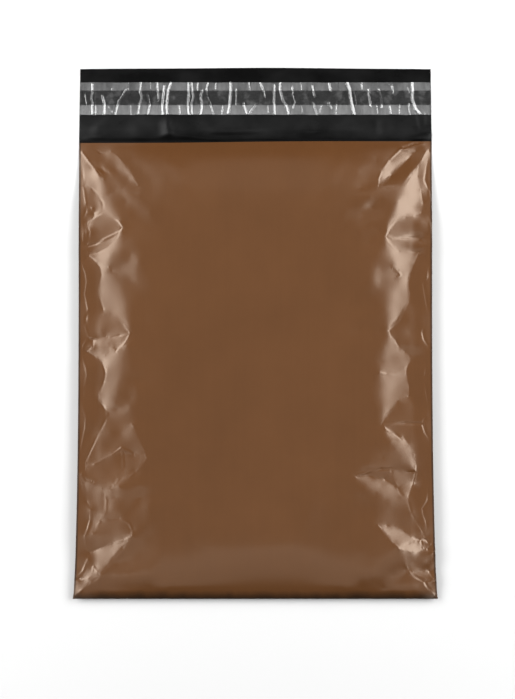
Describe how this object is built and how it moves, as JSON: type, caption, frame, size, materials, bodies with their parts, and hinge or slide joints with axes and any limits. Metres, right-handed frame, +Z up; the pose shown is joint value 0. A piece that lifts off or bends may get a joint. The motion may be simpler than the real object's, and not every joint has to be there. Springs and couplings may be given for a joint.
{
  "type": "poly mailer bag",
  "caption": "Flat rectangular film mailer bag with welded sides and a folded bottom, softly filled, its flap open with an adhesive line under a clear peel-off liner.",
  "frame": {"origin": "middle of the bag's outline, on the surface that it lies on", "axes": "+Z up out of the front panel, +X across the bag, +Y from the bottom fold to the free edge of the flap"},
  "size_m": [0.254, 0.38, 0.0102],
  "materials": {
    "film_brown": "satin co-extruded polyethylene film, brown outside and black inside",
    "adhesive": "tacky clear hot melt over black film, mottled gloss",
    "liner_clear": "hazy clear film with fine cross wrinkles"
  },
  "bodies": {
    "root": {"bag_film": "film_brown", "adhesive_strip": "adhesive", "release_liner": "liner_clear"}
  },
  "joints": []
}
